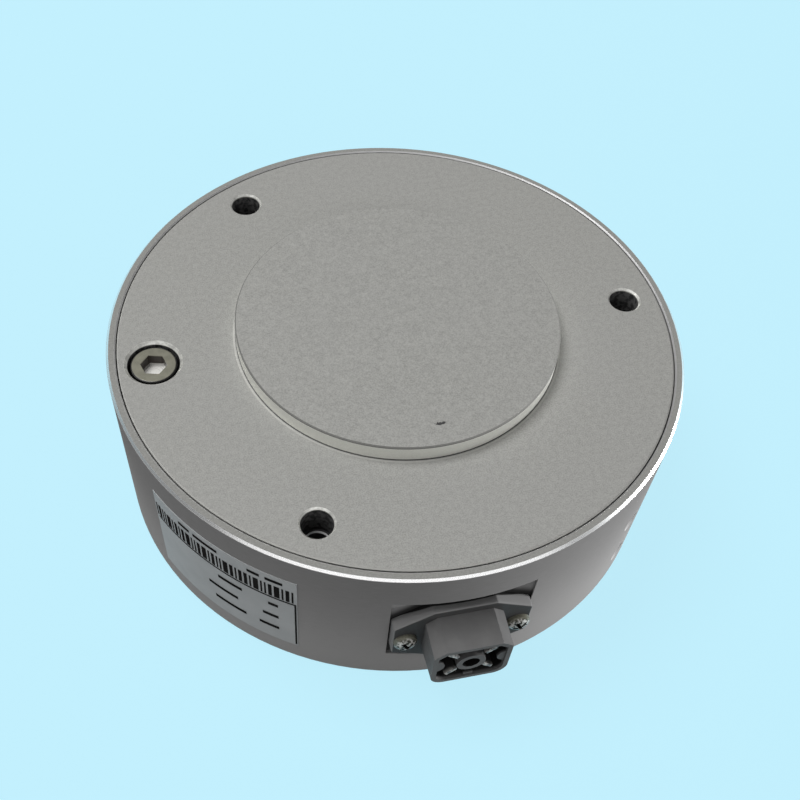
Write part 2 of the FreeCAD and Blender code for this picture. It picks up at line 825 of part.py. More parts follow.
PIECES = {
    "housing": make_housing,
    "load_plate": make_load_plate,
    "gap_seal": make_gap_seal,
    "thread_inserts": make_thread_inserts,
    "overload_stop_screw": make_overload_stop_screw,
    "measuring_beam": make_measuring_beam,
    "beam_base_screws": make_beam_base_screws,
    "beam_plate_screws": make_beam_plate_screws,
    "strain_gauges": make_strain_gauges,
    "gauge_leads": make_gauge_leads,
    "terminal_board": make_terminal_board,
    "trim_resistors": make_trim_resistors,
    "board_standoffs": make_board_standoffs,
    "board_screws": make_board_screws,
    "signal_leads": make_signal_leads,
    "connector_shell": make_connector_shell,
    "contact_carrier": make_contact_carrier,
    "contact_pins": make_contact_pins,
    "centre_nut": make_centre_nut,
    "connector_gasket": make_connector_gasket,
    "connector_screws": make_connector_screws,
    "side_plugs": make_side_plugs,
    "rating_label": make_rating_label,
}


def main():
    os.makedirs("parts", exist_ok=True)
    for name, make in PIECES.items():
        shape = make()
        if not shape.isValid() or not shape.Solids:
            raise ValueError(f"{name} is not a valid solid")
        shape.exportStep(f"parts/{name}.step")
        print(f"{name}: {len(shape.Solids)} solids, {shape.Volume:.1f} mm3")


main()
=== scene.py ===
"""Looks of a round tension load cell: materials, label print, camera, floor and lamps."""

import json
import math

import bpy
from mathutils import Matrix, Vector


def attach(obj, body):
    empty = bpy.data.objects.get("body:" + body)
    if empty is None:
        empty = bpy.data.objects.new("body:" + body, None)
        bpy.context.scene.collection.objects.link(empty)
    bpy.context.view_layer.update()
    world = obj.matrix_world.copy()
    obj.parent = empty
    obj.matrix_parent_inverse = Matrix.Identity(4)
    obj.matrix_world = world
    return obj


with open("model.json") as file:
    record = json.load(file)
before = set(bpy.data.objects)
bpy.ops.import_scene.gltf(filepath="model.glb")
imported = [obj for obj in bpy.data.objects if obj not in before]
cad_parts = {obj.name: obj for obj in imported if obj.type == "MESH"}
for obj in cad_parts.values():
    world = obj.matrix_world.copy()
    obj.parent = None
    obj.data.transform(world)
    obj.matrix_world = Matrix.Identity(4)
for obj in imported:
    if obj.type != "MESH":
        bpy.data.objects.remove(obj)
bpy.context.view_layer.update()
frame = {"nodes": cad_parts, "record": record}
nodes = frame["nodes"]
scene = bpy.context.scene

# Sizes of the part in metres, for masks and print
HOUSING_R = 0.0625
HOUSING_H = 0.040
RIM_R = 0.0605
RIM_CHAMFER = 0.0006
RIM_INNER_CHAMFER = 0.0003
PLATE_R = 0.06022
PLATE_CHAMFER = 0.0003
EDGE_DEPTH = 0.0009
BORE_DEPTH = 0.0008
PAD_R = 0.035
PAD_TOP = 0.044
PAD_CHAMFER = 0.00027
PAD_WALL_Z = (HOUSING_H + 0.00025, PAD_TOP - 0.00045)
PAD_FOOT_R = (PAD_R + 0.0002, PAD_R + 0.0006)
NICK = (0.00164, -0.02965)
NICK_HALF = (0.00125, 0.00042)
HOLE_CIRCLE = 0.05275
HOLES = [(HOLE_CIRCLE * math.cos(a), HOLE_CIRCLE * math.sin(a)) for a in (0, math.tau / 3, 2 * math.tau / 3)]
HOLE_R = 0.0033
HOLE_MOUTH = 0.0004
NUT_RING_R = (0.00253, 0.00282)
NUT_TOP = 0.0327
STOP = (-HOLE_CIRCLE, 0.0)
STOP_BORE_R = 0.00555
STOP_MOUTH = 0.0006
STOP_FACE_R = 0.0045
STOP_TOP = 0.0393
STOP_DRIVE_R = 0.0031
STOP_DRIVE_FLOOR = 0.0368
PLUG_TURN = math.radians(-48)
PLUGS = [(HOUSING_R * math.cos(PLUG_TURN), HOUSING_R * math.sin(PLUG_TURN), z) for z in (0.0098, 0.0221)]
PLUG_R = 0.0021
PLUG_RING_R = 0.0026
SOCKET_Z = 0.0189
SOCKET_FRONT = -0.07045
MOUTH_HALF = (0.00705, 0.00575)
MOUTH_SLANT = (0.00166, 0.00137, 7.5)
FLANGE_FRONT = -0.06295
POCKET_Y = -0.0601
POCKET_HALF = 0.0147
POCKET_Z = (0.0092, 0.0308)
SHOULDER = (0.478, 0.878, 0.02773)
POST_R = 0.00302
POST_BORE_R = 0.00175
PAN_X = 0.0118
PAN_FRONT = -0.06485
PAN_DOME_R = 0.00301
PAN_RECESS_R = 0.0016
PAN_STAR_R = (0.0007, 0.0016)
PAN_STAR_HALF = 0.0001
PAN_RIM_R = (0.0019, 0.0024)
LABEL_R = 0.06262
LABEL_BOTTOM = 0.0058
LABEL_ARC = 0.037
LABEL_MID = math.radians(-137.6)

# Usual width of a mask's soft edge in metres
SOFT = 0.0001

# Tints of grey
PLAIN = (1.0, 1.0, 1.0)
WARM = (1.0, 1.0, 0.95)
STEEL = (1.0, 0.99, 0.94)
PALE = (1.0, 0.98, 0.94)
OLIVE = (1.0, 0.98, 0.78)
RUST = (1.0, 0.85, 0.75)
COOL = (0.97, 1.0, 1.01)

# Tones of grey as base colours, with both ends where a surface varies
BLASTED = (0.265, 0.4)
BLASTED_CLOUDS = 0.35
PAD_WALL = (0.92, 1.0)
# Painted shade on the pad wall's foot and top and on the pad's top chamfer
PAD_SHADE_LINES = 0.12
PAD_CREST_SHADE = 0.19
# Painted highlight on the ring round the pad's foot
PAD_FOOT_HIGHLIGHT = 0.45
# Painted highlight on the plate's outer edge and the top of its side
PLATE_EDGE_HIGHLIGHT = 0.42
MOUTHS = (0.7, 0.95)
# Painted shade down the hole bores
BORE_SHADE = (0.04, 0.12)
NICK_SCAR = 0.06
# Cup's side at its base and top: its own tone, paler lower down as painted light from the floor
CUP_TONE_AND_FLOOR_LIGHT = (0.35, 0.225)
CUP_LINES = 0.5
CUP_LINES_SHARE = 0.12
RIM_FACE = (0.25, 0.305)
RIM_OUTER = 0.88
RIM_INNER = 0.7
PLUG_RING = 0.55
# Painted shade in the plug holes
PLUG_HOLE_SHADE = 0.03
# Painted shade in the socket's pocket
POCKET_GAP_SHADE = 0.04
STOP_FACE = (0.23, 0.29)
# Painted shade on the stop screw's round edge
STOP_EDGE_SHADE = 0.02
# Painted shade on the drive's walls and a painted highlight on its floor
STOP_DRIVE_SHADE = 0.05
STOP_FLOOR_HIGHLIGHT = 0.95
# Painted shade on the nuts and a painted highlight on their chamfers
NUT_SHADE = (0.04, 0.06)
NUT_RING_HIGHLIGHT = 0.95
# Random patches on the screw heads as painted glints
PAN_GLINT_PATCHES = (0.06, 0.62)
PAN_STAR = 0.03
# Painted shade in the screws' recesses and round the heads' edges
PAN_RECESS_SHADE = 0.015
PAN_RIM_SHADE = 0.16
# Random patches on the contact tips as painted glints, and painted shade deeper in the socket
TIP_GLINT_PATCHES = (0.15, 0.6)
TIP_ROOT_SHADE = 0.03
SHELL = (0.13, 0.148)
# Painted light on the flange
FLANGE_PAINTED_LIGHT = 0.24
# Painted shade on the flange's front face and deep in the pocket
FLANGE_FACE_SHADE = 0.07
FLANGE_GAP_SHADE = 0.02
# Painted shade inside the socket's mouth
SOCKET_SHADE = 0.012

# Share of metal and roughness, with both ends where a surface varies
PLATE_METAL = 0.05
MOUTH_METAL = 0.75
PAD_WALL_METAL = 0.85
RIM_METAL = 0.95
STOP_METAL = 0.5
DULL_METAL = 0.1
PLATE_ROUGH = (0.5, 0.62)
SATIN_ROUGH = 0.38
CUP_ROUGH = (0.4, 0.5)
RIM_ROUGH = 0.27
STOP_ROUGH = (0.26, 0.36)
NUT_ROUGH = (0.4, 0.5)
PAN_ROUGH = (0.2, 0.32)
TIP_ROUGH = (0.3, 0.45)
SHELL_ROUGH = (0.42, 0.54)


def grey(value, tint=PLAIN):
    return (value * tint[0], value * tint[1], value * tint[2], 1.0)


class Tree:
    """A material's node tree with short calls for the nodes used here."""

    def __init__(self, name):
        self.material = bpy.data.materials.new(name)
        self.material.use_nodes = True
        self.tree = self.material.node_tree
        self.shader = self.tree.nodes["Principled BSDF"]
        self.output = self.tree.nodes["Material Output"]
        self.place = self.tree.nodes.new("ShaderNodeTexCoord").outputs["Object"]

    def add(self, kind, inputs=(), **settings):
        node = self.tree.nodes.new("ShaderNode" + kind)
        for key, value in settings.items():
            setattr(node, key, value)
        for key, value in dict(inputs).items():
            self.put(node.inputs[key], value)
        return node

    def put(self, socket, value):
        if isinstance(value, bpy.types.NodeSocket):
            self.tree.links.new(value, socket)
        else:
            socket.default_value = value

    def math(self, operation, a, b=0.0, c=0.0):
        return self.add("Math", {0: a, 1: b, 2: c}, operation=operation).outputs[0]

    def vector(self, operation, a, b=(0.0, 0.0, 0.0)):
        return self.add("VectorMath", {0: a, 1: b}, operation=operation).outputs

    def noise(self, vector, scale, detail=2.0, rough=0.5):
        inputs = {"Vector": vector, "Scale": scale, "Detail": detail, "Roughness": rough}
        return self.add("TexNoise", inputs).outputs["Fac"]

    def span(self, value, low, high, to_low=0.0, to_high=1.0):
        """A soft change from one value to another while the input goes from low to high."""
        inputs = {"Value": value, "From Min": low, "From Max": high, "To Min": to_low, "To Max": to_high}
        return self.add("MapRange", inputs, interpolation_type="SMOOTHSTEP").outputs["Result"]

    def spread(self, noise, low=0.0, high=1.0):
        """Noise stretched from its usual range to another."""
        return self.span(noise, 0.3, 0.7, low, high)

    def past(self, value, limit, soft=SOFT):
        """0 up to a limit, and 1 from a little beyond it."""
        return self.span(value, limit, limit + soft)

    def within(self, value, limit, soft=SOFT):
        """1 up to a limit, and 0 from a little beyond it."""
        return self.span(value, limit, limit + soft, 1.0, 0.0)

    def band(self, value, low, high, soft=SOFT):
        """1 between two values, with soft ends."""
        rise = self.span(value, low - soft, low + soft)
        fall = self.span(value, high - soft, high + soft, 1.0, 0.0)
        return self.math("MULTIPLY", rise, fall)

    def near(self, value, middle, reach, soft=0.00002):
        """1 close to a value, with crisp ends."""
        return self.band(value, middle - reach, middle + reach, soft)

    def both(self, *masks):
        out = masks[0]
        for mask in masks[1:]:
            out = self.math("MULTIPLY", out, mask)
        return out

    def either(self, *masks):
        out = masks[0]
        for mask in masks[1:]:
            out = self.math("MAXIMUM", out, mask)
        return out

    def mix(self, factor, a, b):
        node = self.add("Mix", data_type="RGBA")
        self.put(node.inputs[0], factor)
        self.put(node.inputs[6], a)
        self.put(node.inputs[7], b)
        return node.outputs[2]

    def tones(self, factor, ends, tint=PLAIN):
        """A mix of two greys of one tint."""
        return self.mix(factor, grey(ends[0], tint), grey(ends[1], tint))

    def blend(self, factor, a, b):
        node = self.add("Mix", data_type="FLOAT")
        self.put(node.inputs[0], factor)
        self.put(node.inputs[2], a)
        self.put(node.inputs[3], b)
        return node.outputs[0]

    def bump(self, height, strength, distance, normal=None):
        inputs = {"Height": height, "Strength": strength, "Distance": distance}
        if normal is not None:
            inputs["Normal"] = normal
        return self.add("Bump", inputs).outputs["Normal"]

    def xyz(self):
        parts = self.add("SeparateXYZ", {0: self.place}).outputs
        return parts[0], parts[1], parts[2]

    def radius(self, centre=(0.0, 0.0)):
        """Distance from an upright axis."""
        moved = self.vector("ADD", self.place, (-centre[0], -centre[1], 0.0))[0]
        flat = self.vector("MULTIPLY", moved, (1.0, 1.0, 0.0))[0]
        return self.vector("LENGTH", flat)["Value"]

    def length(self, a, b):
        """Length of a flat vector."""
        return self.math("SQRT", self.math("ADD", self.math("MULTIPLY", a, a), self.math("MULTIPLY", b, b)))

    def turned(self, squeeze=0.004):
        """Coordinates that run slowly round the axis and fast across it, for turned lines."""
        x, y, z = self.xyz()
        arc = self.math("MULTIPLY", self.math("ARCTAN2", y, x), squeeze)
        return self.add("CombineXYZ", {0: arc, 1: self.radius(), 2: z}).outputs[0]

    def nick(self, x, y, z):
        """A small ragged scar on the pad, 2.4 mm long."""
        across = self.math("DIVIDE", self.math("SUBTRACT", x, NICK[0]), NICK_HALF[0])
        along = self.math("DIVIDE", self.math("SUBTRACT", y, NICK[1]), NICK_HALF[1])
        away = self.math("ADD", self.math("MULTIPLY", across, across), self.math("MULTIPLY", along, along))
        ragged = self.math("ADD", away, self.spread(self.noise(self.place, scale=1800.0), -0.5, 0.5))
        return self.both(self.within(ragged, 0.5, soft=0.45), self.past(z, PAD_TOP - 0.0001, soft=0.00005))

    def finish(self, colour, metallic, roughness, normal=None, **fixed):
        self.put(self.shader.inputs["Base Color"], colour)
        self.put(self.shader.inputs["Metallic"], metallic)
        self.put(self.shader.inputs["Roughness"], roughness)
        if normal is not None:
            self.put(self.shader.inputs["Normal"], normal)
        for key, value in fixed.items():
            self.shader.inputs[key.replace("_", " ")].default_value = value
        return self.material


def plate_aluminium():
    """Bead blasted and clear anodised, with a satin pad wall, bright hole mouths and a nick on the pad;
    painted shade lines on the pad's wall and top edge, painted highlights round the pad's foot and on the
    plate's outer edge, and painted shade down the bores.
    """
    t = Tree("plate_aluminium")
    x, y, z = t.xyz()
    r = t.radius()
    fine = t.noise(t.place, scale=3400.0, rough=0.7)
    mid = t.noise(t.place, scale=900.0)
    broad = t.noise(t.place, scale=22.0, detail=3.0)
    tone = t.blend(0.25, t.spread(fine), t.spread(mid))
    colour = t.tones(tone, BLASTED, WARM)
    colour = t.mix(t.span(broad, 0.35, 0.7, to_high=0.12), colour, grey(BLASTED_CLOUDS))

    wall = t.near(r, PAD_R, reach=0.0001)
    lines = t.both(wall, t.band(z, HOUSING_H - 0.0001, PAD_TOP - PAD_CHAMFER, soft=0.00003))
    side = t.both(wall, t.band(z, *PAD_WALL_Z, soft=0.00003))
    high = t.past(z, PAD_TOP - PAD_CHAMFER - 0.00001, soft=0.00004)
    crest_shade = t.both(t.band(r, PAD_R - PAD_CHAMFER, PAD_R, soft=0.00002), high)
    foot_highlight = t.both(t.band(r, *PAD_FOOT_R), t.within(z, HOUSING_H))
    top = t.past(z, HOUSING_H - EDGE_DEPTH, soft=0.0003)
    edge = t.both(t.band(r, PLATE_R - PLATE_CHAMFER, PLATE_R, soft=0.00004), top)
    # Painted shade at the pad wall's foot and top and on its top chamfer
    colour = t.mix(lines, colour, grey(PAD_SHADE_LINES))
    colour = t.mix(side, colour, t.tones(tone, PAD_WALL, WARM))
    colour = t.mix(crest_shade, colour, grey(PAD_CREST_SHADE, WARM))
    # Painted highlight on the ring round the pad's foot
    colour = t.mix(foot_highlight, colour, grey(PAD_FOOT_HIGHLIGHT, WARM))
    # Painted highlight on the plate's outer edge and the top of its side
    colour = t.mix(edge, colour, grey(PLATE_EDGE_HIGHLIGHT, WARM))

    mouths, bore_shades = [], []
    for centre, size, mouth in [(c, HOLE_R, HOLE_MOUTH) for c in HOLES] + [(STOP, STOP_BORE_R, STOP_MOUTH)]:
        away = t.radius(centre)
        mouths.append(t.both(t.band(away, size, size + mouth, soft=0.00004), top))
        bore_shades.append(t.within(away, size + 0.00002, soft=0.00008))
    mouth = t.either(*mouths)
    bore = t.both(t.either(*bore_shades), t.within(z, HOUSING_H - BORE_DEPTH, soft=0.0003))
    nick = t.nick(x, y, z)
    colour = t.mix(mouth, colour, t.tones(t.span(mid, 0.35, 0.6), MOUTHS, WARM))
    # Painted shade down the bores
    colour = t.mix(bore, colour, t.tones(t.span(mid, 0.4, 0.6), BORE_SHADE))
    colour = t.mix(nick, colour, grey(NICK_SCAR))

    metallic = t.blend(side, t.blend(mouth, PLATE_METAL, MOUTH_METAL), PAD_WALL_METAL)
    roughness = t.blend(t.either(mouth, side), t.spread(fine, *PLATE_ROUGH), SATIN_ROUGH)
    grain = t.bump(fine, strength=0.22, distance=0.00004)
    grain = t.bump(mid, strength=0.1, distance=0.00005, normal=grain)
    grain = t.bump(nick, strength=0.6, distance=-0.0002, normal=grain)
    return t.finish(colour, metallic, roughness, grain, Specular_IOR_Level=0.12)


def housing_aluminium():
    """Turned and satin anodised, a little paler towards the base as painted light from the floor, with
    bright turned edges at the rim, and painted shade in the plug holes and the socket's pocket.
    """
    t = Tree("housing_aluminium")
    x, y, z = t.xyz()
    r = t.radius()
    lines = t.noise(t.turned(), scale=5200.0, rough=0.6)
    fine = t.noise(t.place, scale=2600.0)
    broad = t.noise(t.place, scale=16.0)
    tone = t.blend(0.4, t.spread(lines), t.spread(broad))
    # Paler towards the base: painted light from the floor
    colour = t.tones(t.span(z, 0.0, HOUSING_H), CUP_TONE_AND_FLOOR_LIGHT)
    colour = t.mix(t.math("MULTIPLY", tone, CUP_LINES_SHARE), colour, grey(CUP_LINES))

    face = t.past(z, HOUSING_H - 0.00012, soft=0.00006)
    slope = t.band(z, HOUSING_H - RIM_CHAMFER + 0.00004, HOUSING_H - 0.00008, soft=0.00004)
    outer = t.both(slope, t.past(r, HOUSING_R - RIM_CHAMFER - SOFT))
    colour = t.mix(face, colour, t.tones(t.spread(fine), RIM_FACE, WARM))
    colour = t.mix(outer, colour, grey(RIM_OUTER))

    for place in PLUGS:
        away = t.vector("LENGTH", t.vector("SUBTRACT", t.place, place)[0])["Value"]
        colour = t.mix(t.within(away, PLUG_RING_R), colour, grey(PLUG_RING))
        # Painted shade in the plug hole
        colour = t.mix(t.within(away, PLUG_R), colour, grey(PLUG_HOLE_SHADE))

    aside = t.math("ABSOLUTE", x)
    sunk = t.both(
        t.within(r, HOUSING_R - 0.0003, soft=0.0002),
        t.within(y, POCKET_Y + 0.0002),
        t.within(aside, POCKET_HALF + 0.0001),
        t.band(z, *POCKET_Z),
    )
    beyond = t.math("ADD", t.math("MULTIPLY", aside, SHOULDER[0]), t.math("MULTIPLY", z, SHOULDER[1]))
    # Painted shade in the pocket, darkest along the flange's shoulder
    gap_shade = t.mix(t.past(beyond, SHOULDER[2] + 0.0005, soft=0.0025), grey(POCKET_GAP_SHADE), colour)
    colour = t.mix(sunk, colour, gap_shade)

    high = t.past(z, HOUSING_H - RIM_INNER_CHAMFER, soft=0.00005)
    inner = t.both(t.band(r, RIM_R - 0.0001, RIM_R + RIM_INNER_CHAMFER, soft=0.00003), high)
    colour = t.mix(inner, colour, grey(RIM_INNER))

    metallic = t.blend(t.either(outer, inner), 0.0, RIM_METAL)
    roughness = t.blend(outer, t.spread(fine, *CUP_ROUGH), RIM_ROUGH)
    normal = t.bump(lines, strength=0.12, distance=0.00003)
    normal = t.bump(fine, strength=0.08, distance=0.00003, normal=normal)
    return t.finish(colour, metallic, roughness, normal, Specular_IOR_Level=0.0)


def stop_steel():
    """The stop screw: turned face, painted shade on its round edge, and a drive with painted shade on its
    walls and a painted highlight on its floor.
    """
    t = Tree("stop_steel")
    z = t.xyz()[2]
    away = t.radius(STOP)
    patch = t.noise(t.place, scale=500.0)
    rings = t.noise(t.add("CombineXYZ", {0: away}).outputs[0], scale=6000.0)
    inside = t.within(away, STOP_DRIVE_R)
    drive = t.both(inside, t.within(z, STOP_TOP - 0.0003, soft=0.0002))
    floor = t.both(inside, t.within(z, STOP_DRIVE_FLOOR + 0.00005, soft=0.00005))
    colour = t.tones(t.spread(patch), STOP_FACE, OLIVE)
    # Painted shade on the round edge
    colour = t.mix(t.past(away, STOP_FACE_R, soft=0.0002), colour, grey(STOP_EDGE_SHADE))
    # Painted shade on the drive's walls and a painted highlight on its floor
    colour = t.mix(drive, colour, grey(STOP_DRIVE_SHADE, RUST))
    colour = t.mix(floor, colour, grey(STOP_FLOOR_HIGHLIGHT, STEEL))
    normal = t.bump(rings, strength=0.08, distance=0.00002)
    return t.finish(colour, STOP_METAL, t.spread(rings, *STOP_ROUGH), normal)


def nut_steel():
    """The clinch nuts: painted dark as shade deep in the holes, with a painted highlight on the chamfer
    round the thread.
    """
    t = Tree("nut_steel")
    z = t.xyz()[2]
    patch = t.noise(t.place, scale=700.0)
    rings = t.either(*[t.band(t.radius(c), *NUT_RING_R, soft=0.00003) for c in HOLES])
    ring = t.both(rings, t.past(z, NUT_TOP - 0.0004))
    # Painted shade on the nut and a painted highlight on its chamfer
    colour = t.mix(ring, t.tones(t.spread(patch), NUT_SHADE), grey(NUT_RING_HIGHLIGHT))
    return t.finish(colour, DULL_METAL, t.spread(patch, *NUT_ROUGH))


def pan_steel():
    """The socket's screws: domed heads with painted glints in light and dark patches, star lines, and
    painted shade in the cross recess and round the edge.
    """
    t = Tree("pan_steel")
    x, y, z = t.xyz()
    patch = t.noise(t.place, scale=1700.0, rough=0.6)
    across = t.math("SUBTRACT", t.math("ABSOLUTE", x), PAN_X)
    rise = t.math("SUBTRACT", z, SOCKET_Z)
    away = t.length(across, rise)
    skew = t.math("SUBTRACT", t.math("ABSOLUTE", across), t.math("ABSOLUTE", rise))
    star = t.both(t.within(t.math("ABSOLUTE", skew), PAN_STAR_HALF), t.band(away, *PAN_STAR_R))
    dome = t.math("MULTIPLY", t.math("MULTIPLY", away, away), 0.5 / PAN_DOME_R)
    depth = t.math("SUBTRACT", t.math("SUBTRACT", y, PAN_FRONT), dome)
    recess = t.both(t.past(depth, 0.00012, soft=0.00018), t.within(away, PAN_RECESS_R))
    # Random patches as painted glints
    colour = t.mix(t.span(patch, 0.42, 0.6), grey(PAN_GLINT_PATCHES[0], OLIVE), grey(PAN_GLINT_PATCHES[1], STEEL))
    colour = t.mix(star, colour, grey(PAN_STAR))
    # Painted shade in the recess and round the edge
    colour = t.mix(recess, colour, grey(PAN_RECESS_SHADE))
    colour = t.mix(t.span(away, *PAN_RIM_R), colour, grey(PAN_RIM_SHADE, OLIVE))
    roughness = t.spread(patch, *PAN_ROUGH)
    normal = t.bump(patch, strength=0.15, distance=0.00003)
    return t.finish(colour, DULL_METAL, roughness, normal, Specular_IOR_Level=0.15)


def contact_tin():
    """The flat contacts: tinned tips in patches that are painted glints, with painted shade on them deeper
    in the socket.
    """
    t = Tree("contact_tin")
    y = t.xyz()[1]
    patch = t.noise(t.place, scale=800.0, detail=3.0, rough=0.6)
    deep_shade = t.past(y, SOCKET_FRONT + 0.0004, soft=0.0012)
    # Random patches as painted glints on the tips, and painted shade deeper in the socket
    tip = t.mix(t.span(patch, 0.4, 0.6), grey(TIP_GLINT_PATCHES[0]), grey(TIP_GLINT_PATCHES[1], STEEL))
    colour = t.mix(deep_shade, tip, grey(TIP_ROOT_SHADE))
    roughness = t.spread(patch, *TIP_ROUGH)
    normal = t.bump(patch, strength=0.1, distance=0.00002)
    return t.finish(colour, DULL_METAL, roughness, normal, Specular_IOR_Level=0.2)


def socket_plastic(name, ring_r, start):
    """Moulded grey plastic, with painted shade inside the mouth from a depth on, but for a ring round the
    post's bore, and on the flange painted light, painted shade on its front face and painted shade in the
    pocket.
    """
    t = Tree(name)
    x, y, z = t.xyz()
    grain = t.noise(t.place, scale=3200.0, detail=3.0, rough=0.55)
    patch = t.noise(t.place, scale=260.0)
    edge = t.past(y, FLANGE_FRONT - 0.0001, soft=0.0003)
    face = t.near(y, FLANGE_FRONT, reach=0.00005)
    gap_shade = t.within(t.radius(), HOUSING_R - 0.0011, soft=0.0003)
    colour = t.tones(t.spread(patch), SHELL)
    # Painted light on the flange
    colour = t.mix(edge, colour, grey(FLANGE_PAINTED_LIGHT))
    # Painted shade on the flange's front face and deep in the pocket
    colour = t.mix(face, colour, grey(FLANGE_FACE_SHADE))
    colour = t.mix(gap_shade, colour, grey(FLANGE_GAP_SHADE))

    rise = t.math("SUBTRACT", z, SOCKET_Z)
    aside = t.math("ABSOLUTE", x)
    slant = t.math("ADD", t.math("DIVIDE", aside, MOUTH_SLANT[0]), t.math("DIVIDE", rise, MOUTH_SLANT[1]))
    ring = t.band(t.length(x, rise), POST_BORE_R + 0.00005, ring_r, soft=0.00003)
    inside = t.both(
        t.within(aside, MOUTH_HALF[0] - 0.0001, soft=0.0002),
        t.within(t.math("ABSOLUTE", rise), MOUTH_HALF[1] - 0.0001, soft=0.0002),
        t.within(slant, MOUTH_SLANT[2], soft=0.2),
        t.past(y, SOCKET_FRONT + start, soft=0.0006),
        t.math("SUBTRACT", 1.0, ring),
    )
    # Painted shade inside the mouth
    colour = t.mix(inside, colour, grey(SOCKET_SHADE))
    roughness = t.spread(grain, *SHELL_ROUGH)
    normal = t.bump(grain, strength=0.25, distance=0.00002)
    return t.finish(colour, 0.0, roughness, normal, Specular_IOR_Level=0.03)


def bare_metal(name, low, high, rough, metallic, scale=1400.0):
    """Turned metal with fine scratches and a patchy sheen."""
    t = Tree(name)
    drawn = t.add("Mapping", {"Vector": t.place, "Scale": (1.0, 6.0, 1.0)}).outputs[0]
    scratch = t.noise(drawn, scale, detail=3.0, rough=0.6)
    patch = t.noise(t.place, scale / 5)
    colour = t.mix(t.spread(patch), low, high)
    normal = t.bump(scratch, strength=0.1, distance=0.00003)
    return t.finish(colour, metallic, t.spread(scratch, *rough), normal)


def soft_matter(name, low, high, rough, scale, depth, gloss=0.08):
    """Plastic, rubber, film or laminate with a fine moulded or woven grain."""
    t = Tree(name)
    grain = t.noise(t.place, scale, detail=3.0, rough=0.55)
    patch = t.noise(t.place, scale / 12)
    colour = t.mix(t.spread(patch), low, high)
    normal = t.bump(grain, strength=0.25, distance=depth)
    return t.finish(colour, 0.0, t.spread(grain, *rough), normal, Specular_IOR_Level=gloss)


# Two ends of the colour, range of roughness and share of metal
METALS = {
    "beam_aluminium": (grey(0.5), grey(0.6), (0.3, 0.42), 0.9),
    "screw_steel": (grey(0.36), grey(0.5, PALE), (0.22, 0.36), 0.6),
    "bush_brass": ((0.5, 0.36, 0.14, 1), (0.62, 0.46, 0.2, 1), (0.22, 0.36), 0.95),
    "plug_steel": (grey(0.05), grey(0.09), (0.3, 0.45), 0.2),
}
# Two ends of the colour, range of roughness, grain per metre, depth of the grain, and gloss if unusual
SOFT_MATTERS = {
    "black_rubber": (grey(0.014), grey(0.022), (0.6, 0.75), 2200.0, 0.00003),
    "gauge_film": ((0.45, 0.27, 0.06, 1), (0.6, 0.38, 0.1, 1), (0.3, 0.45), 1500.0, 0.00001),
    "lead_insulation": ((0.38, 0.06, 0.04, 1), (0.5, 0.1, 0.06, 1), (0.4, 0.5), 1500.0, 0.00001),
    "board_laminate": ((0.02, 0.16, 0.06, 1), (0.03, 0.22, 0.09, 1), (0.3, 0.4), 900.0, 0.00001),
    "resistor_ceramic": (grey(0.03), grey(0.05), (0.4, 0.55), 1800.0, 0.00001),
    "label_film": (grey(0.43, COOL), grey(0.47, COOL), (0.42, 0.5), 1600.0, 0.000005, 0.03),
    "label_ink": (grey(0.014), grey(0.022), (0.45, 0.6), 2600.0, 0.000004, 0.0),
}
materials = {
    "plate_aluminium": plate_aluminium(),
    "housing_aluminium": housing_aluminium(),
    "contact_metal": contact_tin(),
    "grey_plastic": socket_plastic("grey_plastic", POST_BORE_R, 0.0004),
}
materials |= {name: bare_metal(name, *look) for name, look in METALS.items()}
materials |= {name: soft_matter(name, *look) for name, look in SOFT_MATTERS.items()}
for part in frame["record"]["subparts"]:
    node = nodes[part["node"]]
    node.data.materials.clear()
    node.data.materials.append(materials[part["material_slot"]])
nodes["overload_stop_screw"].data.materials[0] = stop_steel()
nodes["thread_inserts"].data.materials[0] = nut_steel()
nodes["connector_screws"].data.materials[0] = pan_steel()
nodes["side_plugs"].data.materials[0] = materials["plug_steel"]
nodes["contact_carrier"].data.materials[0] = socket_plastic("carrier_plastic", POST_R, -0.001)


def plain_object(name, mesh, material):
    obj = bpy.data.objects.new(name, mesh)
    scene.collection.objects.link(obj)
    obj.data.materials.append(material)
    return obj


# Print on the label in millimetres, along it from its left end and up from its lower edge
MM = 0.001
PRINT_LIFT = 0.00004
PRINT_STEP = 1.5
RULES = ((0.8, 36.8, 17.6, 18.1), (36.4, 36.8, 0.5, 17.6))
BAR_START = 0.4
BAR_UNIT = 0.4
BAR_GAP = 0.46
BAR_HEIGHTS = (18.4, 22.8)
BAR_WIDTHS = (1, 2, 1, 1, 3, 1, 2, 1, 2, 3, 1, 1, 2, 3, 1, 2, 1, 1, 3, 2, 1, 2, 2, 1, 3, 1, 1, 2, 3, 1, 2, 1)
DASHES = {
    (24.0, 25.0): ((8.4, 11.6), (12.6, 19.0), (26.2, 29.0), (30.2, 34.0)),
    (14.2, 15.3): ((18.5, 24.5), (30.6, 32.8)),
    (9.4, 10.5): ((15.6, 23.2), (29.2, 32.8)),
    (4.6, 5.7): ((17.0, 25.0), (28.2, 32.8)),
}


def label_point(along, height):
    """A point on the label's print."""
    angle = LABEL_MID + (along * MM - LABEL_ARC / 2) / HOUSING_R
    r = LABEL_R + PRINT_LIFT
    return (r * math.cos(angle), r * math.sin(angle), LABEL_BOTTOM + height * MM)


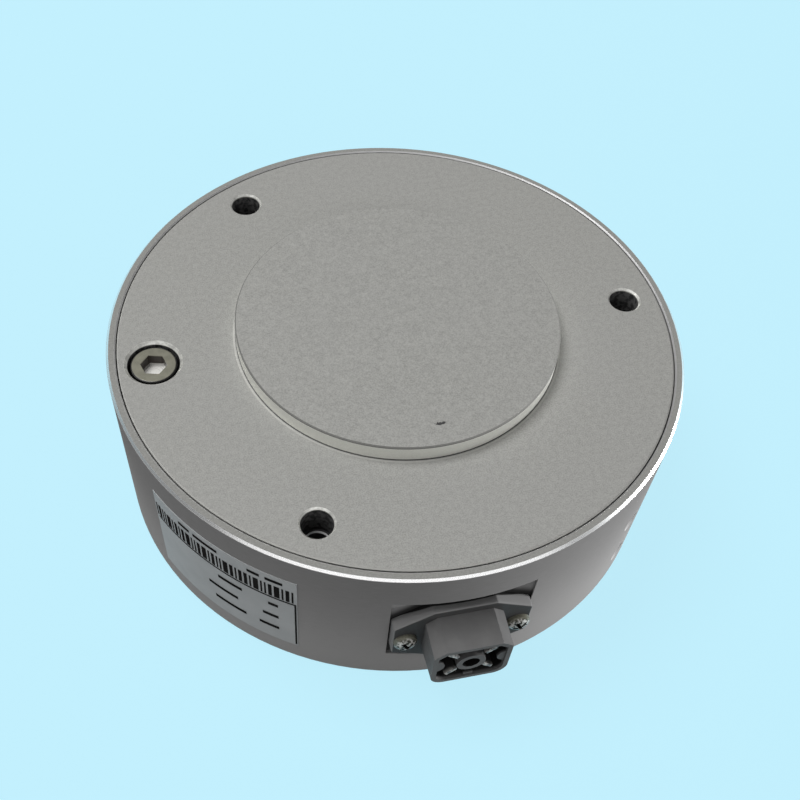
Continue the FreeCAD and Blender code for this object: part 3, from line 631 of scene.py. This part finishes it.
def label_print():
    """Rules, plain bars and dashes that follow the curve of the label."""
    areas = list(RULES)
    along = BAR_START
    for width in BAR_WIDTHS:
        areas.append((along, along + BAR_UNIT * width, *BAR_HEIGHTS))
        along += BAR_UNIT * width + BAR_GAP
    for heights, dashes in DASHES.items():
        areas += [(*dash, *heights) for dash in dashes]
    verts, faces = [], []
    for left, right, low, high in areas:
        steps = max(1, math.ceil((right - left) / PRINT_STEP))
        first = len(verts)
        for i in range(steps + 1):
            s = left + (right - left) * i / steps
            verts.append(label_point(s, low))
            verts.append(label_point(s, high))
        for i in range(steps):
            a = first + 2 * i
            faces.append((a, a + 2, a + 3, a + 1))
    mesh = bpy.data.meshes.new("label_print")
    mesh.from_pydata(verts, [], faces)
    return mesh


printed = plain_object("label_print", label_print(), materials["label_ink"])
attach(printed, "root")

# Camera, from a fit of the cup, plate, pad and holes to the photograph
CAMERA_PLACE = (-0.046361, -0.148957, 0.20625)
CAMERA_RIGHT = (0.976376, -0.212079, 0.041386)
CAMERA_UP = (0.152259, 0.811161, 0.564655)
CAMERA_BACK = (-0.153322, -0.545014, 0.824289)
camera = bpy.data.objects.new("camera", bpy.data.cameras.new("camera"))
scene.collection.objects.link(camera)
turn = Matrix((CAMERA_RIGHT, CAMERA_UP, CAMERA_BACK)).transposed().to_4x4()
camera.matrix_world = Matrix.Translation(CAMERA_PLACE) @ turn
camera.data.sensor_width = 36.0
camera.data.lens = 46.516
camera.data.shift_x = 0.0425
camera.data.shift_y = 0.1075
camera.data.clip_start = 0.01
camera.data.clip_end = 20.0
scene.camera = camera

# Floor and world. The floor shows the backdrop's colour and takes a faint shadow near the part
BACKDROP = (0.546, 0.871, 0.991, 1.0)
FLOOR_Z = -0.0001
FLOOR_HALF = 9
FLOOR_BOUNCE = 0.35
SHADOW_REACH = (0.25, 0.9)
GLOW_SHARE = (0.92, 1.0)
WORLD_LIGHT = 0.22


def shown(t):
    """1 where the eye or a reflection meets the backdrop."""
    path = t.add("LightPath").outputs
    seen = t.math("MAXIMUM", path["Is Camera Ray"], path["Is Glossy Ray"])
    return t.math("MAXIMUM", seen, path["Is Transmission Ray"])


def floor_material():
    t = Tree("floor")
    t.tree.nodes.remove(t.shader)
    lit = t.add("BsdfDiffuse", {"Color": BACKDROP}).outputs[0]
    glow = t.add("Emission", {"Color": BACKDROP, "Strength": 1.0}).outputs[0]
    share = t.span(t.radius(), *SHADOW_REACH, *GLOW_SHARE)
    pale = t.add("MixShader", {0: share, 1: lit, 2: glow}).outputs[0]
    plain = t.add("BsdfDiffuse", {"Color": grey(FLOOR_BOUNCE)}).outputs[0]
    surface = t.add("MixShader", {0: shown(t), 1: plain, 2: pale}).outputs[0]
    t.put(t.output.inputs["Surface"], surface)
    return t.material


mesh = bpy.data.meshes.new("floor")
corners = [(x * FLOOR_HALF, y * FLOOR_HALF, FLOOR_Z) for x, y in ((-1, -1), (1, -1), (1, 1), (-1, 1))]
mesh.from_pydata(corners, [], [(0, 1, 2, 3)])
plain_object("floor", mesh, floor_material())

world = bpy.data.worlds.new("studio")
scene.world = world
world.use_nodes = True
background = world.node_tree.nodes["Background"]
background.inputs["Color"].default_value = (1.0, 1.0, 1.0, 1.0)
background.inputs["Strength"].default_value = WORLD_LIGHT


def lamp(name, place, target, size, power):
    light = bpy.data.lights.new(name, "AREA")
    light.shape = "RECTANGLE"
    light.size, light.size_y = size
    light.energy = power
    obj = bpy.data.objects.new(name, light)
    scene.collection.objects.link(obj)
    obj.location = place
    obj.rotation_euler = (Vector(target) - Vector(place)).to_track_quat("-Z", "Y").to_euler()


# Name, place, target, size and power. The wide front lamp shows in the rim's front edge
lamp("above", (-0.6, 0.35, 1.55), (0, 0, 0.04), (1.0, 1.0), 23.4)
lamp("front", (-0.25, -1.29, 0.77), (0, 0, 0.04), (3.6, 0.35), 5.5)
lamp("right", (1.42, -0.23, 0.0205), (0, 0, 0.0205), (0.5, 0.036), 22.0)

scene.view_settings.view_transform = "Standard"
